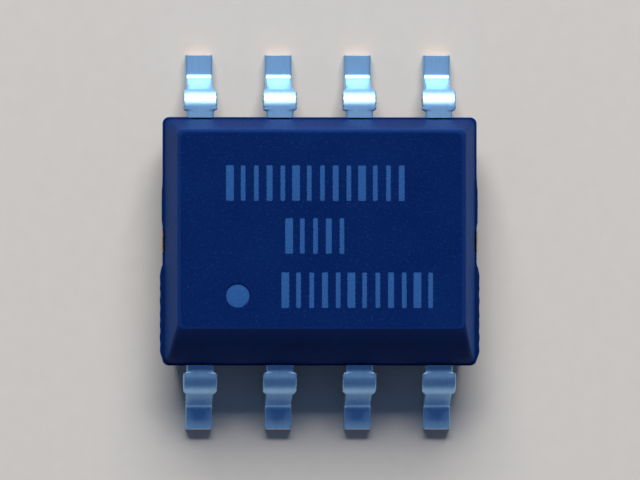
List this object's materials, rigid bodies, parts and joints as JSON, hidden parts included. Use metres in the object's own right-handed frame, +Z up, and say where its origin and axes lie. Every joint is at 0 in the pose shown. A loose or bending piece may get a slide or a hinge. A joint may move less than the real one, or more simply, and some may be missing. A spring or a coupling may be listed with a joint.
{
  "type": "soic chip",
  "caption": "Small-outline integrated circuit: a moulded body with a bevelled pin 1 side and a pin 1 dot, gull-wing leads along both long sides, and a wired die inside.",
  "frame": {"origin": "on the board, under the middle of the body: the feet stand on z = 0", "axes": "+X along the body from the pin 1 end, +Y across the lead rows away from the pin 1 side, +Z up from the board"},
  "size_m": [0.0052, 0.006, 0.0016],
  "materials": {
    "mould_compound": "fine spark-eroded matt, near black with a cool cast",
    "tin_plate": "satin tin plate over copper alloy, copper bare where it was cut",
    "copper_frame": "rolled copper alloy",
    "die_adhesive": "silver-filled epoxy film",
    "silicon": "polished silicon",
    "gold_wire": "drawn gold wire"
  },
  "bodies": {
    "root": {"package_body": "mould_compound", "lead_1": "tin_plate", "lead_2": "tin_plate", "lead_3": "tin_plate", "lead_4": "tin_plate", "lead_5": "tin_plate", "lead_6": "tin_plate", "lead_7": "tin_plate", "lead_8": "tin_plate", "die_paddle": "copper_frame", "die_attach": "die_adhesive", "silicon_die": "silicon", "bond_wire_1": "gold_wire", "bond_wire_2": "gold_wire", "bond_wire_3": "gold_wire", "bond_wire_4": "gold_wire", "bond_wire_5": "gold_wire", "bond_wire_6": "gold_wire", "bond_wire_7": "gold_wire", "bond_wire_8": "gold_wire"}
  },
  "joints": []
}
